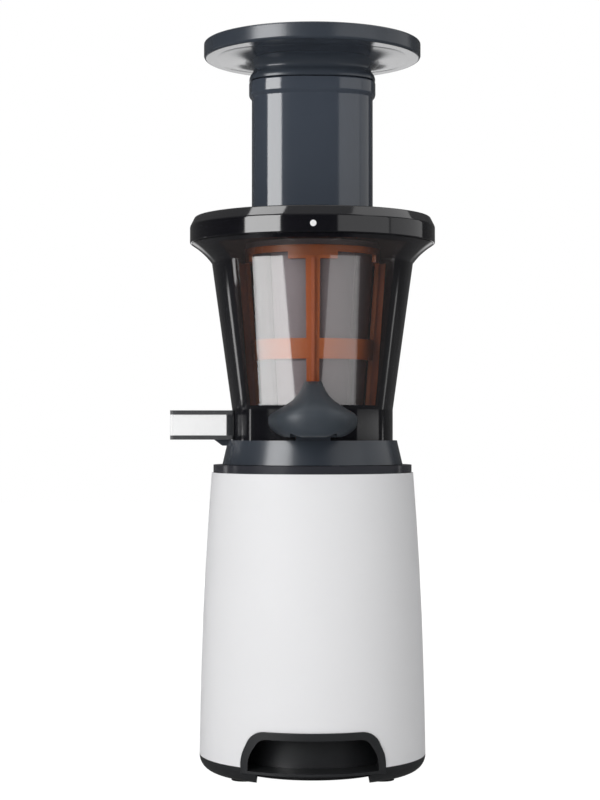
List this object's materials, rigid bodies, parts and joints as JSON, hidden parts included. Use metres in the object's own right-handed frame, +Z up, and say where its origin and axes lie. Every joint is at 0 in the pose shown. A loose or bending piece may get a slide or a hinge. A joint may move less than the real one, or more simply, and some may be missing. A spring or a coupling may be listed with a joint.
{
  "type": "cold press juicer",
  "caption": "Upright slow juicer: round power unit, lift-off bowl with screen, auger and turning wiper, feed tube with pusher.",
  "frame": {"origin": "centre of the plane that the five feet stand on, under the middle foot, on the axis of the body, auger and bowl", "axes": "+Z up along the auger's axis, -Y towards the front with the finger recess and the pulp outlet, -X towards the juice spout"},
  "size_m": [0.1523, 0.1636, 0.423],
  "materials": {
    "shell_white": "smooth satin white plastic",
    "deck_grey": "smooth dark grey plastic",
    "tray_grey": "fine matte dark grey plastic",
    "slate_plastic": "glossy slate grey plastic",
    "black_gloss": "glossy black plastic",
    "clear_plastic": "clear plastic",
    "smoke_clear": "lightly smoked clear plastic",
    "steel_screen": "fine perforated steel",
    "steel": "machined steel",
    "amber_plastic": "translucent amber plastic",
    "orange_silicone": "orange silicone",
    "grey_silicone": "grey silicone",
    "rubber_black": "black rubber",
    "inner_plastic": "natural engineering plastic",
    "auger_plastic": "dark food-grade plastic",
    "laminations": "stacked steel laminations",
    "winding_copper": "enamelled copper wire",
    "bearing_bronze": "sintered bronze",
    "motor_alloy": "die-cast aluminium",
    "board_green": "circuit board",
    "capacitor_case": "capacitor case",
    "white_mark": "white inlay"
  },
  "bodies": {
    "power_unit": {"base_tray": "tray_grey", "rubber_feet": "rubber_black", "base_screws": "steel", "body_shell": "shell_white", "grip_recess": "tray_grey", "top_deck": "deck_grey", "deck_screws": "steel", "drive_shaft_seal": "rubber_black", "switch_bezel": "tray_grey", "mains_inlet_grommet": "rubber_black", "interlock_switch": "inner_plastic", "interlock_spring": "steel", "control_board": "board_green", "run_capacitor": "capacitor_case", "motor_lower_frame": "motor_alloy", "motor_upper_frame": "motor_alloy", "motor_bearings": "steel", "motor_stator": "laminations", "motor_windings": "winding_copper", "motor_bolts": "steel", "gearbox_housing": "inner_plastic", "gearbox_cover": "inner_plastic", "gearbox_screws": "steel", "output_bushes": "bearing_bronze"},
    "rocker": {"control_rocker": "black_gloss"},
    "interlock": {"interlock_pin": "steel"},
    "rotor": {"motor_shaft": "steel", "rotor_core": "laminations", "cooling_fan": "inner_plastic"},
    "intermediate": {"layshaft": "steel", "lay_gear": "inner_plastic"},
    "output": {"drive_shaft": "steel", "output_gear": "steel"},
    "bowl_unit": {"bowl": "black_gloss", "bowl_window": "smoke_clear", "bowl_base": "slate_plastic", "bowl_seal": "grey_silicone", "juice_spout": "clear_plastic", "pulp_outlet": "slate_plastic", "juice_screen": "steel_screen", "screen_frame": "auger_plastic"},
    "auger_unit": {"auger": "auger_plastic", "auger_drive_socket": "steel"},
    "idler": {"idler_gear": "inner_plastic"},
    "wiper": {"wiper_basket": "amber_plastic", "wiper_blades": "orange_silicone"},
    "lid_unit": {"lid": "slate_plastic", "lid_mark": "white_mark", "lid_bush": "inner_plastic", "lid_seal": "grey_silicone"},
    "pusher": {"pusher_body": "slate_plastic", "pusher_disc": "slate_plastic", "pusher_cap": "slate_plastic"}
  },
  "joints": [
    {"name": "rocker_tilt", "type": "hinge", "parent": "power_unit", "child": "rocker", "pos_m": [0, 0.05983, 0.06], "axis": [1, 0, 0], "range_deg": [-11, 11]},
    {"name": "interlock_press", "type": "slide", "parent": "power_unit", "child": "interlock", "axis": [0, 0, -1], "range_m": [0, 0.0025], "stiffness_N_per_m": 200, "springref_m": -0.002, "deforming": ["interlock_spring"]},
    {"name": "motor_spin", "type": "hinge", "parent": "power_unit", "child": "rotor", "pos_m": [0, 0.0076, 0.067], "axis": [0, 0, 1], "continuous": true},
    {"name": "intermediate_spin", "type": "hinge", "parent": "power_unit", "child": "intermediate", "pos_m": [0, 0.0324, 0.13], "axis": [0, 0, 1], "continuous": true},
    {"name": "output_spin", "type": "hinge", "parent": "power_unit", "child": "output", "pos_m": [0, 0, 0.15], "axis": [0, 0, 1], "continuous": true},
    {"name": "bowl_lift", "type": "slide", "parent": "power_unit", "child": "bowl_unit", "axis": [0, 0, 1], "range_m": [0, 0.05]},
    {"name": "auger_spin", "type": "hinge", "parent": "bowl_unit", "child": "auger_unit", "pos_m": [0, 0, 0.25], "axis": [0, 0, 1], "continuous": true},
    {"name": "idler_spin", "type": "hinge", "parent": "bowl_unit", "child": "idler", "pos_m": [0, 0.0175, 0.194], "axis": [0, 0, 1], "continuous": true},
    {"name": "wiper_spin", "type": "hinge", "parent": "bowl_unit", "child": "wiper", "pos_m": [0, 0, 0.25], "axis": [0, 0, 1], "continuous": true},
    {"name": "lid_lift", "type": "slide", "parent": "bowl_unit", "child": "lid_unit", "axis": [0, 0, 1], "range_m": [0, 0.03]},
    {"name": "pusher_slide", "type": "slide", "parent": "lid_unit", "child": "pusher", "axis": [0, 0, 1], "range_m": [0, 0.09]}
  ],
  "couplings": [
    {"joint": "intermediate_spin", "follows": "motor_spin", "ratio": -0.24},
    {"joint": "output_spin", "follows": "motor_spin", "ratio": 0.068571},
    {"joint": "auger_spin", "follows": "motor_spin", "ratio": 0.068571},
    {"joint": "idler_spin", "follows": "motor_spin", "ratio": -0.068571},
    {"joint": "wiper_spin", "follows": "motor_spin", "ratio": -0.022857}
  ]
}
